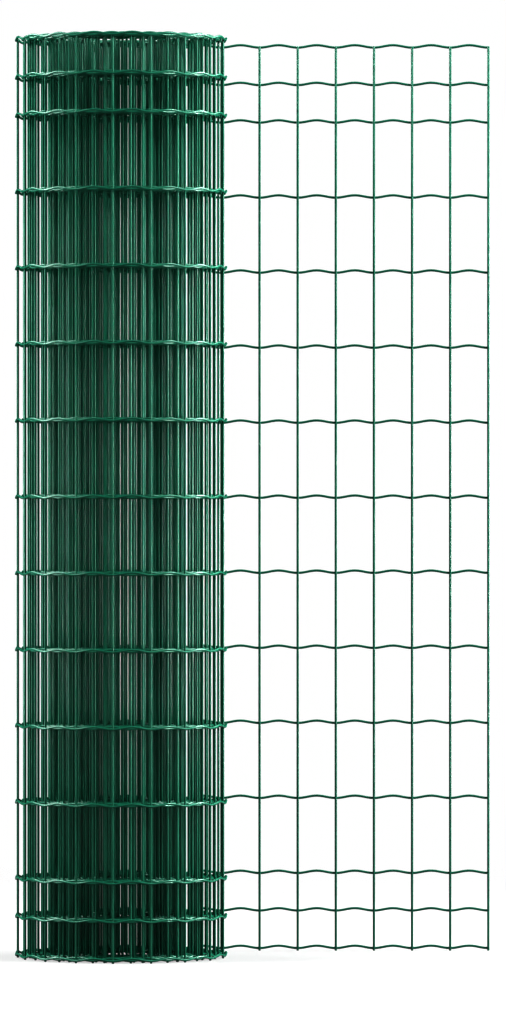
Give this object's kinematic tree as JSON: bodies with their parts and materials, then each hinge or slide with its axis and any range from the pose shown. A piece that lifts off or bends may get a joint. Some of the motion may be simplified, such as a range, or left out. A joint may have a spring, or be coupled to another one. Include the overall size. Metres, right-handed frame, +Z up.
{
  "type": "welded wire fencing roll",
  "caption": "Roll of coated welded wire mesh stood on end, wound about an open core, with its flat free end drawn out from the back.",
  "frame": {"origin": "on the roll's axis, level with the lower ends of the cross wires it stands on", "axes": "+Z up along the roll's axis; the free end leaves the roll's back, at +Y, and runs along +X"},
  "size_m": [0.6284, 0.289, 1.2079],
  "materials": {
    "coated_wire": "smooth green plastic coating on steel wire"
  },
  "bodies": {
    "root": {"wound_mesh": "coated_wire", "free_end": "coated_wire"}
  },
  "joints": []
}
